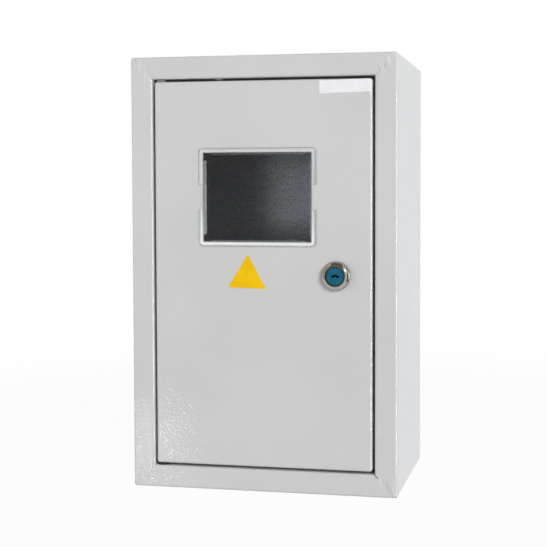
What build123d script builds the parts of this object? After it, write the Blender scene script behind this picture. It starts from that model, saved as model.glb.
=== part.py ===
"""Wall-mounted electrical cabinet: folded steel body, inset door with a clear window, cam lock.

Millimetres. The origin is the middle of the rear face against the wall. X runs to the right seen from
the front, Y runs into the wall and Z runs up. A length named "out" is a distance from the wall.
"""

import os
from math import cos, radians

from build123d import *

os.makedirs("parts", exist_ok=True)

# Overall size
cabinet_width = 225.0
cabinet_height = 360.0
cabinet_depth = 140.0

# Sheet steel and its bends
sheet = 1.2
inner_bend = 0.8
outer_bend = inner_bend + sheet

# Clearances
door_gap = 2.2
moving_clearance = 0.3
running_clearance = 0.05
stop_clearance = 0.5
thread_clearance = 0.05
rivet_clearance = 0.02
bolt_clearance = 0.3

# Front frame and door
frame_width = 18.5
opening_width = cabinet_width - 2 * frame_width
opening_height = cabinet_height - 2 * frame_width
door_width = opening_width - 2 * door_gap
door_height = opening_height - 2 * door_gap
door_depth = 15.0
door_back_out = cabinet_depth - door_depth
door_inside_out = cabinet_depth - sheet
lip_depth = door_depth + stop_clearance + sheet
lip_back_out = cabinet_depth - lip_depth
catch_width = 12.0
catch_end_gap = 18.0
catch_height = opening_height - 2 * catch_end_gap
slit_reach = 4.0
slit_width = 0.9
slit_depth = sheet + inner_bend

# Pivot hinges
pin_diameter = 4.0
pin_chamfer = 0.6
pin_head_diameter = 5.0
pin_head_height = 2.0
pin_reach = 4.0
hinge_inset = 4.7
hinge_setback = 5.0
hinge_x = -door_width / 2 + hinge_inset
hinge_out = cabinet_depth - hinge_setback
hinge_washer_diameter = 8.0
hinge_washer_height = door_gap - moving_clearance

# Rear panel and wall fixing
rear_width = cabinet_width - 2 * sheet
rear_height = cabinet_height - 2 * sheet
rear_flange = 12.0
wall_hole_diameter = 8.0
wall_hole_inset_x = 32.5
wall_hole_inset_z = 24.0
wall_hole_spacing_x = cabinet_width - 2 * wall_hole_inset_x
wall_hole_spacing_z = cabinet_height - 2 * wall_hole_inset_z

# Cable entries, scored for knocking out
entry_diameter = 29.0
entry_groove_width = 1.6
entry_groove_depth = 0.5
entry_spacing = 75.0
entry_out = 70.0

# Mounting plate on its studs
plate_side_gap = 17.5
plate_end_gap = 35.0
plate_width = cabinet_width - 2 * plate_side_gap
plate_height = cabinet_height - 2 * plate_end_gap
plate_thickness = 1.5
plate_corner = 5.0
plate_back_out = 28.0
plate_front_out = plate_back_out + plate_thickness
stud_diameter = 6.0
stud_chamfer = 0.7
stud_inset_x = 15.0
stud_inset_z = 20.0
stud_spacing_x = plate_width - 2 * stud_inset_x
stud_spacing_z = plate_height - 2 * stud_inset_z
stud_end = 4.0
nut_flats = 10.0
nut_height = 5.0
nut_face_share = 0.95
nut_bevel = 30.0
washer_diameter = 12.0
washer_height = 1.6
stud_front_out = plate_front_out + washer_height + nut_height + stud_end
device_slot_length = 20.0
device_slot_width = 5.3
device_slot_spacing = 80.0
device_slot_inset = 20.0

# Mounting rail
rail_end_gap = 10.0
rail_length = plate_width - 2 * rail_end_gap
rail_height = 35.0
rail_base_height = 27.0
rail_depth = 7.5
rail_sheet = 1.0
rail_bend = 1.0
rail_rise = 70.0
rail_z = -plate_height / 2 + rail_rise
rail_slot_pitch = 25.0
rail_slot_length = 15.0
rail_slot_width = 5.4
rail_slot_count = 2 * int((rail_length / 2 - rail_slot_length / 2) / rail_slot_pitch) + 1
rail_screw_spacing = rail_slot_pitch * (rail_slot_count - 1)
rail_screw_diameter = 5.0
rail_screw_head_diameter = 9.5
rail_screw_head_height = 3.2
rail_screw_bevel = 1.4
rail_screw_end = 1.5
rail_nut_flats = 8.0
rail_nut_height = 4.0

# Earth studs on the left wall and inside the door
earth_length = 14.0
earth_rise = 40.0
earth_out = 70.0
earth_x = -cabinet_width / 2 + sheet
earth_z = -cabinet_height / 2 + earth_rise
door_earth_inset_x = 22.0
door_earth_inset_z = 18.0
door_earth_x = -door_width / 2 + door_earth_inset_x
door_earth_z = -door_height / 2 + door_earth_inset_z

# Window moulding
window_width = 99.7
window_height = 81.4
window_corner = 4.0
window_edge = 0.5
window_thickness = 1.8
window_side_margin = 38.2
window_top_margin = 54.8
window_x = -door_width / 2 + window_side_margin + window_width / 2
window_z = door_height / 2 - window_top_margin - window_height / 2
window_overlap = 3.5
window_fit = 0.3
cutout_width = window_width - 2 * window_overlap
cutout_height = window_height - 2 * window_overlap
cutout_corner = 1.0
notch_height = 20.0
rib_thickness = 1.4
rib_depth = 5.0
rib_relief = 6.5
rib_span_x = cutout_width - 2 * window_fit
rib_span_z = cutout_height - 2 * window_fit
hook_side_gap = 1.5
hook_height = notch_height - 2 * hook_side_gap
hook_nose = 1.3
hook_length = 3.0

# Cam lock
lock_inset = 29.7
lock_x = door_width / 2 - lock_inset
ring_diameter = 24.2
ring_height = 5.0
ring_rim = 1.0
ring_bulge = 0.9
ring_lip = 0.6
ring_out = cabinet_depth + ring_height
core_diameter = 15.8
core_edge = 0.5
core_recess = 1.0
core_head_length = 3.6
core_front_out = ring_out - core_recess
core_seat_out = core_front_out - core_head_length
counterbore_radius = core_diameter / 2 + running_clearance
barrel_diameter = 18.0
shank_diameter = 11.0
bore_radius = shank_diameter / 2 + running_clearance
shoulder_out = lip_back_out - stop_clearance
barrel_back_out = shoulder_out + moving_clearance
lock_nut_flats = 22.0
lock_nut_height = 4.0
key_slot_width = 1.8
key_slot_half = 3.3
key_slot_rise = 0.7
key_slot_depth = 9.0
cam_thickness = 2.0
cam_diameter = 16.0
cam_arm_width = 12.0
cam_tip = 2.0
cam_overlap = 7.0
cam_length = door_width / 2 + door_gap - lock_x - catch_width + cam_overlap
cam_back_out = shoulder_out - cam_thickness
tang_size = 7.0
tang_fit = 0.05
tang_shortfall = 0.2
tang_length = cam_thickness - tang_shortfall
cam_washer_diameter = 13.0
cam_washer_height = 1.2
cam_washer_back_out = cam_back_out - cam_washer_height
cam_screw_diameter = 4.0
cam_screw_head_diameter = 7.6
cam_screw_head_height = 2.8
cam_screw_bevel = 1.2
cam_screw_depth = 6.0
cam_screw_end_out = shoulder_out - tang_length + cam_screw_depth


def corner_radius(flats):
    """Radius over the corners of a hexagon from its width across flats."""
    return flats / 2 / cos(radians(30))


# Body shell: four walls, the front frame folded in from them and the lip folded back from the frame
with BuildPart() as body_shell:
    with BuildSketch(Plane.XZ):
        Rectangle(cabinet_width, cabinet_height)
    extrude(amount=cabinet_depth)
    front_edges = body_shell.faces().sort_by(Axis.Y)[0].edges()
    fillet(body_shell.edges().filter_by(Axis.Y) + front_edges, outer_bend)
    with BuildSketch(Plane.XZ):
        Rectangle(cabinet_width - 2 * sheet, cabinet_height - 2 * sheet)
    extrude(amount=cabinet_depth - sheet, mode=Mode.SUBTRACT)
    fillet(body_shell.edges(Select.LAST).filter_by_position(Axis.Y, -cabinet_depth, -sheet), inner_bend)
    with BuildSketch(Plane.XZ.offset(lip_back_out)):
        Rectangle(opening_width + 2 * sheet, opening_height + 2 * sheet)
    extrude(amount=lip_depth - sheet)
    fillet(body_shell.edges(Select.LAST).group_by(Axis.Y)[0], inner_bend)
    with BuildSketch(Plane.XZ.offset(lip_back_out)):
        Rectangle(opening_width, opening_height)
    extrude(amount=lip_depth, mode=Mode.SUBTRACT)
    fillet(body_shell.edges(Select.LAST).group_by(Axis.Y)[0], outer_bend)
    # Catch flange along the lock side, behind the free edge of the door
    with BuildSketch(Plane.XY):
        with Locations((opening_width / 2, -lip_back_out)):
            Rectangle(catch_width, sheet, align=(Align.MAX, Align.MAX))
    extrude(amount=catch_height / 2, both=True)
    # Pivot holes through the upper and lower lips
    with BuildSketch(Plane.XY):
        with Locations((hinge_x, -hinge_out)):
            Circle(pin_diameter / 2 + running_clearance)
    extrude(amount=opening_height / 2 + 2 * sheet, both=True, mode=Mode.SUBTRACT)
    # Open corner slit at the lower end of the lock side
    with BuildSketch(Plane.XZ.offset(cabinet_depth - slit_depth)):
        with Locations((opening_width / 2, -opening_height / 2)):
            SlotOverall(2 * slit_reach, slit_width, rotation=-45)
    extrude(amount=slit_depth, mode=Mode.SUBTRACT)
    # Scored cable entries in the upper and lower walls
    for level in (-cabinet_height / 2, cabinet_height / 2):
        with BuildSketch(Plane.XY.offset(level)):
            with Locations((-entry_spacing / 2, -entry_out), (entry_spacing / 2, -entry_out)):
                Circle(entry_diameter / 2)
                Circle(entry_diameter / 2 - entry_groove_width, mode=Mode.SUBTRACT)
        extrude(amount=entry_groove_depth, both=True, mode=Mode.SUBTRACT)
body_shell.part.label = "body_shell"
export_step(body_shell.part, "parts/body_shell.step")

# Rear panel: shallow pan welded inside the walls, with the wall holes
with BuildPart() as rear_panel:
    with BuildSketch(Plane.XZ):
        Rectangle(rear_width, rear_height)
    extrude(amount=rear_flange)
    rear_edges = rear_panel.faces().sort_by(Axis.Y)[-1].edges()
    fillet(rear_panel.edges().filter_by(Axis.Y) + rear_edges, outer_bend)
    with BuildSketch(Plane.XZ.offset(sheet)):
        Rectangle(rear_width - 2 * sheet, rear_height - 2 * sheet)
    extrude(amount=rear_flange - sheet, mode=Mode.SUBTRACT)
    fillet(rear_panel.edges(Select.LAST).filter_by_position(Axis.Y, -rear_flange + sheet, 0), inner_bend)
    with BuildSketch(Plane.XZ):
        with GridLocations(wall_hole_spacing_x, wall_hole_spacing_z, 2, 2):
            Circle(wall_hole_diameter / 2)
    extrude(amount=sheet, mode=Mode.SUBTRACT)
rear_panel.part.label = "rear_panel"
export_step(rear_panel.part, "parts/rear_panel.step")

# Studs welded to the rear panel
with BuildPart() as plate_studs:
    with BuildSketch(Plane.XZ.offset(sheet)):
        with GridLocations(stud_spacing_x, stud_spacing_z, 2, 2):
            Circle(stud_diameter / 2)
    extrude(amount=stud_front_out - sheet)
    chamfer(plate_studs.faces().group_by(Axis.Y)[0].edges(), stud_chamfer)
plate_studs.part.label = "plate_studs"
export_step(plate_studs.part, "parts/plate_studs.step")

# Nuts behind the plate
with BuildPart() as stud_back_nuts:
    with BuildSketch(Plane.XZ.offset(plate_back_out - nut_height)):
        with GridLocations(stud_spacing_x, stud_spacing_z, 2, 2):
            RegularPolygon(corner_radius(nut_flats), 6)
            Circle(stud_diameter / 2 + thread_clearance, mode=Mode.SUBTRACT)
    extrude(amount=nut_height)
    with BuildSketch(Plane.XZ.offset(plate_back_out - nut_height)):
        with GridLocations(stud_spacing_x, stud_spacing_z, 2, 2):
            Circle(nut_flats / 2 * nut_face_share)
    extrude(amount=nut_height, taper=nut_bevel - 90, mode=Mode.INTERSECT)
stud_back_nuts.part.label = "stud_back_nuts"
export_step(stud_back_nuts.part, "parts/stud_back_nuts.step")

# Mounting plate with device slots above and below the stretch that the window shows
with BuildPart() as mounting_plate:
    with BuildSketch(Plane.XZ.offset(plate_back_out)):
        RectangleRounded(plate_width, plate_height, plate_corner)
        with GridLocations(stud_spacing_x, stud_spacing_z, 2, 2):
            Circle(stud_diameter / 2 + bolt_clearance, mode=Mode.SUBTRACT)
        with Locations((window_x, plate_height / 2 - device_slot_inset)):
            SlotOverall(device_slot_length, device_slot_width, rotation=90, mode=Mode.SUBTRACT)
        with Locations((window_x, 0)):
            with GridLocations(device_slot_spacing, 0, 2, 1):
                SlotOverall(device_slot_length, device_slot_width, rotation=90, mode=Mode.SUBTRACT)
        with Locations((0, rail_z)):
            with GridLocations(rail_screw_spacing, 0, 2, 1):
                Circle(rail_screw_diameter / 2 + bolt_clearance, mode=Mode.SUBTRACT)
    extrude(amount=plate_thickness)
mounting_plate.part.label = "mounting_plate"
export_step(mounting_plate.part, "parts/mounting_plate.step")

# Washers in front of the plate
with BuildPart() as stud_washers:
    with BuildSketch(Plane.XZ.offset(plate_front_out)):
        with GridLocations(stud_spacing_x, stud_spacing_z, 2, 2):
            Circle(washer_diameter / 2)
            Circle(stud_diameter / 2 + bolt_clearance, mode=Mode.SUBTRACT)
    extrude(amount=washer_height)
stud_washers.part.label = "stud_washers"
export_step(stud_washers.part, "parts/stud_washers.step")

# Nuts in front of the plate
with BuildPart() as stud_front_nuts:
    with BuildSketch(Plane.XZ.offset(plate_front_out + washer_height)):
        with GridLocations(stud_spacing_x, stud_spacing_z, 2, 2):
            RegularPolygon(corner_radius(nut_flats), 6)
            Circle(stud_diameter / 2 + thread_clearance, mode=Mode.SUBTRACT)
    extrude(amount=nut_height)
    with BuildSketch(Plane.XZ.offset(plate_front_out + washer_height + nut_height)):
        with GridLocations(stud_spacing_x, stud_spacing_z, 2, 2):
            Circle(nut_flats / 2 * nut_face_share)
    extrude(amount=-nut_height, taper=nut_bevel - 90, mode=Mode.INTERSECT)
stud_front_nuts.part.label = "stud_front_nuts"
export_step(stud_front_nuts.part, "parts/stud_front_nuts.step")

# Top-hat mounting rail: the middle line of its sheet, thickened and drawn out, with slots along the base
with BuildPart() as mounting_rail:
    with BuildSketch(Plane.YZ.offset(-rail_length / 2)):
        with BuildLine():
            base_y = -plate_front_out - rail_sheet / 2
            brim_y = -plate_front_out - rail_depth + rail_sheet / 2
            web_half = (rail_base_height - rail_sheet) / 2
            FilletPolyline(
                (brim_y, rail_z + rail_height / 2),
                (brim_y, rail_z + web_half),
                (base_y, rail_z + web_half),
                (base_y, rail_z - web_half),
                (brim_y, rail_z - web_half),
                (brim_y, rail_z - rail_height / 2),
                radius=rail_bend,
            )
        trace(line_width=rail_sheet)
    extrude(amount=rail_length)
    with BuildSketch(Plane.XZ.offset(plate_front_out)):
        with Locations((0, rail_z)):
            with GridLocations(rail_slot_pitch, 0, rail_slot_count, 1):
                SlotOverall(rail_slot_length, rail_slot_width)
    extrude(amount=rail_sheet, mode=Mode.SUBTRACT)
mounting_rail.part.label = "mounting_rail"
export_step(mounting_rail.part, "parts/mounting_rail.step")

# Screws through the rail and the plate
with BuildPart() as rail_screws:
    with BuildSketch(Plane.XZ.offset(plate_front_out + rail_sheet)):
        with Locations((0, rail_z)):
            with GridLocations(rail_screw_spacing, 0, 2, 1):
                Circle(rail_screw_head_diameter / 2)
    extrude(amount=rail_screw_head_height)
    chamfer(rail_screws.faces().group_by(Axis.Y)[0].edges(), rail_screw_bevel)
    with BuildSketch(Plane.XZ.offset(plate_back_out - rail_nut_height - rail_screw_end)):
        with Locations((0, rail_z)):
            with GridLocations(rail_screw_spacing, 0, 2, 1):
                Circle(rail_screw_diameter / 2)
    extrude(amount=rail_screw_end + rail_nut_height + plate_thickness + rail_sheet)
rail_screws.part.label = "rail_screws"
export_step(rail_screws.part, "parts/rail_screws.step")

# Nuts behind the plate for the rail screws
with BuildPart() as rail_nuts:
    with BuildSketch(Plane.XZ.offset(plate_back_out - rail_nut_height)):
        with Locations((0, rail_z)):
            with GridLocations(rail_screw_spacing, 0, 2, 1):
                RegularPolygon(corner_radius(rail_nut_flats), 6)
                Circle(rail_screw_diameter / 2 + thread_clearance, mode=Mode.SUBTRACT)
    extrude(amount=rail_nut_height)
    with BuildSketch(Plane.XZ.offset(plate_back_out - rail_nut_height)):
        with Locations((0, rail_z)):
            with GridLocations(rail_screw_spacing, 0, 2, 1):
                Circle(rail_nut_flats / 2 * nut_face_share)
    extrude(amount=rail_nut_height, taper=nut_bevel - 90, mode=Mode.INTERSECT)
rail_nuts.part.label = "rail_nuts"
export_step(rail_nuts.part, "parts/rail_nuts.step")

# Earth stud welded to the left wall, with its washer and nut
with BuildPart() as earth_stud:
    with BuildSketch(Plane.YZ.offset(earth_x)):
        with Locations((-earth_out, earth_z)):
            Circle(stud_diameter / 2)
    extrude(amount=earth_length)
    chamfer(earth_stud.faces().sort_by(Axis.X)[-1].edges(), stud_chamfer)
earth_stud.part.label = "earth_stud"
export_step(earth_stud.part, "parts/earth_stud.step")

with BuildPart() as earth_washer:
    with BuildSketch(Plane.YZ.offset(earth_x)):
        with Locations((-earth_out, earth_z)):
            Circle(washer_diameter / 2)
            Circle(stud_diameter / 2 + bolt_clearance, mode=Mode.SUBTRACT)
    extrude(amount=washer_height)
earth_washer.part.label = "earth_washer"
export_step(earth_washer.part, "parts/earth_washer.step")

with BuildPart() as earth_nut:
    with BuildSketch(Plane.YZ.offset(earth_x + washer_height)):
        with Locations((-earth_out, earth_z)):
            RegularPolygon(corner_radius(nut_flats), 6)
            Circle(stud_diameter / 2 + thread_clearance, mode=Mode.SUBTRACT)
    extrude(amount=nut_height)
    with BuildSketch(Plane.YZ.offset(earth_x + washer_height + nut_height)):
        with Locations((-earth_out, earth_z)):
            Circle(nut_flats / 2 * nut_face_share)
    extrude(amount=-nut_height, taper=nut_bevel - 90, mode=Mode.INTERSECT)
earth_nut.part.label = "earth_nut"
export_step(earth_nut.part, "parts/earth_nut.step")

# Door panel: a pan with flanges turned back all round, cut out for the window and the lock
with BuildPart() as door_panel:
    with BuildSketch(Plane.XZ.offset(door_back_out)):
        Rectangle(door_width, door_height)
    extrude(amount=door_depth)
    face_edges = door_panel.faces().sort_by(Axis.Y)[0].edges()
    fillet(door_panel.edges().filter_by(Axis.Y) + face_edges, outer_bend)
    with BuildSketch(Plane.XZ.offset(door_back_out)):
        Rectangle(door_width - 2 * sheet, door_height - 2 * sheet)
    extrude(amount=door_depth - sheet, mode=Mode.SUBTRACT)
    pan_edges = door_panel.edges(Select.LAST)
    fillet(pan_edges.filter_by_position(Axis.Y, -cabinet_depth, -door_back_out - sheet), inner_bend)
    with BuildSketch(Plane.XZ.offset(door_inside_out)):
        with Locations((window_x, window_z)):
            RectangleRounded(cutout_width, cutout_height, cutout_corner)
        with Locations((lock_x, 0)):
            Circle(barrel_diameter / 2 + bolt_clearance)
    extrude(amount=sheet, mode=Mode.SUBTRACT)
    with BuildSketch(Plane.XY):
        with Locations((hinge_x, -hinge_out)):
            Circle(pin_diameter / 2 + rivet_clearance)
    extrude(amount=door_height / 2, both=True, mode=Mode.SUBTRACT)
door_panel.part.label = "door_panel"
export_step(door_panel.part, "parts/door_panel.step")

# Hinge pins riveted into the door flanges and turning in the lips of the frame
with BuildPart() as upper_hinge_pin:
    with BuildSketch(Plane.XY.offset(door_height / 2 - sheet - pin_head_height)):
        with Locations((hinge_x, -hinge_out)):
            Circle(pin_head_diameter / 2)
    extrude(amount=pin_head_height)
    with BuildSketch(Plane.XY.offset(door_height / 2 - sheet)):
        with Locations((hinge_x, -hinge_out)):
            Circle(pin_diameter / 2)
    extrude(amount=2 * sheet + door_gap + pin_reach)
    chamfer(upper_hinge_pin.faces().sort_by(Axis.Z)[-1].edges(), pin_chamfer)
upper_hinge_pin.part.label = "upper_hinge_pin"
export_step(upper_hinge_pin.part, "parts/upper_hinge_pin.step")

with BuildPart() as lower_hinge_pin:
    mirror(upper_hinge_pin.part, about=Plane.XY)
lower_hinge_pin.part.label = "lower_hinge_pin"
export_step(lower_hinge_pin.part, "parts/lower_hinge_pin.step")

with BuildPart() as hinge_washers:
    with BuildSketch(Plane.XY.offset(door_height / 2)):
        with Locations((hinge_x, -hinge_out)):
            Circle(hinge_washer_diameter / 2)
            Circle(pin_diameter / 2 + running_clearance, mode=Mode.SUBTRACT)
    extrude(amount=hinge_washer_height)
    mirror(about=Plane.XY)
hinge_washers.part.label = "hinge_washers"
export_step(hinge_washers.part, "parts/hinge_washers.step")

# Clear window: pane with a rim on the door face, ribs through the cut-out and a hook under each notch
with BuildPart() as window_pane:
    with BuildSketch(Plane.XZ.offset(cabinet_depth)):
        with Locations((window_x, window_z)):
            RectangleRounded(window_width, window_height, window_corner)
            with GridLocations(window_width - window_overlap, 0, 2, 1):
                Rectangle(window_overlap, notch_height, mode=Mode.SUBTRACT)
    extrude(amount=window_thickness)
    chamfer(window_pane.faces().sort_by(Axis.Y)[0].edges(), window_edge)
    with BuildSketch(Plane.XZ.offset(cabinet_depth - rib_depth)):
        with Locations((window_x, window_z)):
            with GridLocations(rib_span_x - rib_thickness, 0, 2, 1):
                Rectangle(rib_thickness, rib_span_z - 2 * rib_relief)
            with GridLocations(0, rib_span_z - rib_thickness, 1, 2):
                Rectangle(rib_span_x - 2 * rib_relief, rib_thickness)
    extrude(amount=rib_depth)
    with BuildSketch(Plane.XY.offset(window_z)):
        for side in (-1, 1):
            rib_face = window_x + side * rib_span_x / 2
            with BuildLine():
                Polyline(
                    (rib_face, -door_inside_out),
                    (rib_face + side * hook_nose, -door_inside_out),
                    (rib_face, -door_inside_out + hook_length),
                    close=True,
                )
            make_face()
    extrude(amount=hook_height / 2, both=True)
window_pane.part.label = "window_pane"
export_step(window_pane.part, "parts/window_pane.step")

# Earth stud welded inside the door, with its washer and nut
with BuildPart() as door_earth_stud:
    with BuildSketch(Plane.XZ.offset(door_inside_out - earth_length)):
        with Locations((door_earth_x, door_earth_z)):
            Circle(stud_diameter / 2)
    extrude(amount=earth_length)
    chamfer(door_earth_stud.faces().sort_by(Axis.Y)[-1].edges(), stud_chamfer)
door_earth_stud.part.label = "door_earth_stud"
export_step(door_earth_stud.part, "parts/door_earth_stud.step")

with BuildPart() as door_earth_washer:
    with BuildSketch(Plane.XZ.offset(door_inside_out - washer_height)):
        with Locations((door_earth_x, door_earth_z)):
            Circle(washer_diameter / 2)
            Circle(stud_diameter / 2 + bolt_clearance, mode=Mode.SUBTRACT)
    extrude(amount=washer_height)
door_earth_washer.part.label = "door_earth_washer"
export_step(door_earth_washer.part, "parts/door_earth_washer.step")

with BuildPart() as door_earth_nut:
    with BuildSketch(Plane.XZ.offset(door_inside_out - washer_height - nut_height)):
        with Locations((door_earth_x, door_earth_z)):
            RegularPolygon(corner_radius(nut_flats), 6)
            Circle(stud_diameter / 2 + thread_clearance, mode=Mode.SUBTRACT)
    extrude(amount=nut_height)
    with BuildSketch(Plane.XZ.offset(door_inside_out - washer_height - nut_height)):
        with Locations((door_earth_x, door_earth_z)):
            Circle(nut_flats / 2 * nut_face_share)
    extrude(amount=nut_height, taper=nut_bevel - 90, mode=Mode.INTERSECT)
door_earth_nut.part.label = "door_earth_nut"
export_step(door_earth_nut.part, "parts/door_earth_nut.step")

lock_axis = Axis((lock_x, 0, 0), (0, 1, 0))

# Lock housing: domed ring on the door face and a barrel through the door, bored for the core
with BuildPart() as lock_housing:
    with BuildSketch(Plane.XY):
        with BuildLine():
            ring_top = (lock_x + counterbore_radius + ring_lip, -ring_out)
            ring_foot = (lock_x + ring_diameter / 2, -cabinet_depth - ring_rim)
            Polyline(
                ring_top,
                (lock_x + counterbore_radius, -ring_out),
                (lock_x + counterbore_radius, -core_seat_out + running_clearance),
                (lock_x + bore_radius, -core_seat_out + running_clearance),
                (lock_x + bore_radius, -barrel_back_out),
                (lock_x + barrel_diameter / 2, -barrel_back_out),
                (lock_x + barrel_diameter / 2, -cabinet_depth),
                (lock_x + ring_diameter / 2, -cabinet_depth),
                ring_foot,
            )
            SagittaArc(ring_foot, ring_top, ring_bulge)
        make_face()
    revolve(axis=lock_axis)
lock_housing.part.label = "lock_housing"
export_step(lock_housing.part, "parts/lock_housing.step")

# Nut clamping the lock behind the door
with BuildPart() as lock_nut:
    with BuildSketch(Plane.XZ.offset(door_inside_out - lock_nut_height)):
        with Locations((lock_x, 0)):
            RegularPolygon(corner_radius(lock_nut_flats), 6)
            Circle(barrel_diameter / 2 + thread_clearance, mode=Mode.SUBTRACT)
    extrude(amount=lock_nut_height)
    with BuildSketch(Plane.XZ.offset(door_inside_out - lock_nut_height)):
        with Locations((lock_x, 0)):
            Circle(lock_nut_flats / 2 * nut_face_share)
    extrude(amount=lock_nut_height, taper=nut_bevel - 90, mode=Mode.INTERSECT)
lock_nut.part.label = "lock_nut"
export_step(lock_nut.part, "parts/lock_nut.step")

# Lock core: head with the key slot, shank through the barrel and a square tang for the cam
with BuildPart() as lock_core:
    with BuildSketch(Plane.XY):
        with BuildLine():
            Polyline(
                (lock_x, -core_front_out),
                (lock_x + core_diameter / 2 - core_edge, -core_front_out),
                (lock_x + core_diameter / 2, -core_front_out + core_edge),
                (lock_x + core_diameter / 2, -core_seat_out),
                (lock_x + shank_diameter / 2, -core_seat_out),
                (lock_x + shank_diameter / 2, -shoulder_out),
                (lock_x, -shoulder_out),
                close=True,
            )
        make_face()
    revolve(axis=lock_axis)
    with BuildSketch(Plane.XZ.offset(shoulder_out - tang_length)):
        with Locations((lock_x, 0)):
            Rectangle(tang_size, tang_size)
    extrude(amount=tang_length)
    with BuildSketch(Plane.XZ.offset(shoulder_out - tang_length)):
        with Locations((lock_x, 0)):
            Circle(cam_screw_diameter / 2 + thread_clearance)
    extrude(amount=cam_screw_depth, mode=Mode.SUBTRACT)
    with BuildSketch(Plane.XZ.offset(core_front_out - key_slot_depth)):
        with BuildLine():
            Polyline(
                (lock_x - key_slot_half, -key_slot_rise),
                (lock_x, key_slot_rise),
                (lock_x + key_slot_half, -key_slot_rise),
            )
        trace(line_width=key_slot_width)
    extrude(amount=key_slot_depth, mode=Mode.SUBTRACT)
lock_core.part.label = "lock_core"
export_step(lock_core.part, "parts/lock_core.step")

# Cam hanging straight down, unlocked; a quarter turn takes its tip behind the catch flange
with BuildPart() as lock_cam:
    with BuildSketch(Plane.XZ.offset(cam_back_out)) as cam_outline:
        with Locations((lock_x, 0)):
            Rectangle(cam_arm_width, cam_length, align=(Align.CENTER, Align.MAX))
        fillet(cam_outline.vertices().group_by(Axis.Y)[0], cam_tip)
        with Locations((lock_x, 0)):
            Circle(cam_diameter / 2)
            Rectangle(tang_size + 2 * tang_fit, tang_size + 2 * tang_fit, mode=Mode.SUBTRACT)
    extrude(amount=cam_thickness)
lock_cam.part.label = "lock_cam"
export_step(lock_cam.part, "parts/lock_cam.step")

with BuildPart() as cam_washer:
    with BuildSketch(Plane.XZ.offset(cam_washer_back_out)):
        with Locations((lock_x, 0)):
            Circle(cam_washer_diameter / 2)
            Circle(cam_screw_diameter / 2 + bolt_clearance, mode=Mode.SUBTRACT)
    extrude(amount=cam_washer_height)
cam_washer.part.label = "cam_washer"
export_step(cam_washer.part, "parts/cam_washer.step")

with BuildPart() as cam_screw:
    with BuildSketch(Plane.XZ.offset(cam_washer_back_out - cam_screw_head_height)):
        with Locations((lock_x, 0)):
            Circle(cam_screw_head_diameter / 2)
    extrude(amount=cam_screw_head_height)
    chamfer(cam_screw.faces().sort_by(Axis.Y)[-1].edges(), cam_screw_bevel)
    with BuildSketch(Plane.XZ.offset(cam_washer_back_out)):
        with Locations((lock_x, 0)):
            Circle(cam_screw_diameter / 2)
    extrude(amount=cam_screw_end_out - cam_washer_back_out)
cam_screw.part.label = "cam_screw"
export_step(cam_screw.part, "parts/cam_screw.step")
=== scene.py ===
"""Looks of a wall-mounted electrical cabinet: its finishes, threads, screws, stickers and a plain studio.

Metres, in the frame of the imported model: X to the right, Y into the wall, Z up.
"""

import math

import bmesh
import bpy
from bpy.props import FloatProperty, FloatVectorProperty, IntProperty, PointerProperty
from bpy.types import Operator, Panel, PropertyGroup
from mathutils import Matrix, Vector


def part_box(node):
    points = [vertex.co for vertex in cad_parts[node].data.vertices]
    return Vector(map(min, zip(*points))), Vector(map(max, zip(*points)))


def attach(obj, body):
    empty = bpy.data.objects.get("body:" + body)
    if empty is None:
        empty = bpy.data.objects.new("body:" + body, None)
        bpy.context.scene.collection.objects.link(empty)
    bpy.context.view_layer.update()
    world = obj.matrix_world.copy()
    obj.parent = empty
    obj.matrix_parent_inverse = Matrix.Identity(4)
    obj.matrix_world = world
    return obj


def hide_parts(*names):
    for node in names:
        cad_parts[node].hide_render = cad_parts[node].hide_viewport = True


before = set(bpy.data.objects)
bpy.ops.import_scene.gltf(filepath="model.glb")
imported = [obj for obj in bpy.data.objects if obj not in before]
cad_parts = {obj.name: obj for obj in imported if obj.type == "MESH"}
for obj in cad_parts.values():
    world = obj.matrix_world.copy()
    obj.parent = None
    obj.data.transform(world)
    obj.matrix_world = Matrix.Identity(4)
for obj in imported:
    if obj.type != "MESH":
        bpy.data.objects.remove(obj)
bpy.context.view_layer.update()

bl_info = {
    "name": "Cabinet looks",
    "version": (1, 0, 0),
    "blender": (4, 5, 0),
    "location": "3D View > Sidebar > Cabinet",
    "description": "Finishes, fasteners, stickers and a studio for a wall-mounted electrical cabinet",
    "category": "Object",
}

SEED_SIZE = 0.001
MERGE_DISTANCE = 2e-6
PLACE_SLACK = 1e-5
SMOOTH_ANGLE = math.radians(28)
FACE_FRONT = math.radians(90)
SENSOR_WIDTH = 36.0
WHITE = (1.0, 1.0, 1.0)
BLACK = (0.0, 0.0, 0.0)

# Places where masks on the coat and the window start and end, in metres from a face or an edge
FRONT_NEAR = 0.0002
FRONT_FAR = 0.0009
FRAME_NEAR = 0.0014
FRAME_FAR = 0.0024
PANE_NEAR = 0.0002
PANE_FAR = 0.0006
RIB_NEAR = 0.0001
RIB_FAR = 0.0006

# Heights of fine relief, in metres
SPANGLE_DEPTH = 0.000001
SCRATCH_DEPTH = 0.000006
RIPPLE_DEPTH = 0.00002
WAVE_DEPTH = 0.00003
GRAIN_DEPTH = 0.00002
FILM_DEPTH = 0.00003
FIBRE_DEPTH = 0.00001

# Sizes of the marks on the sticker and the label, in metres
FILM_PEEL_SIZE = 0.0024
PRINT_PATCH_SIZE = 0.012
FIBRE_SIZE = 0.0007
STAIN_SIZE = 0.009
LABEL_LIFT = 0.002
LABEL_CUTS = 40

# Depth of a metric thread over its pitch, and the segments of a rounded head
THREAD_DEPTH_SHARE = 0.6134
HEAD_SEGMENTS = 6

PLASTIC_IOR = 1.49

shell_low, shell_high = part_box("body_shell")
door_low, door_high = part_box("door_panel")
ring_low, ring_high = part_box("lock_housing")
lock_x = (ring_low.x + ring_high.x) / 2


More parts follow.
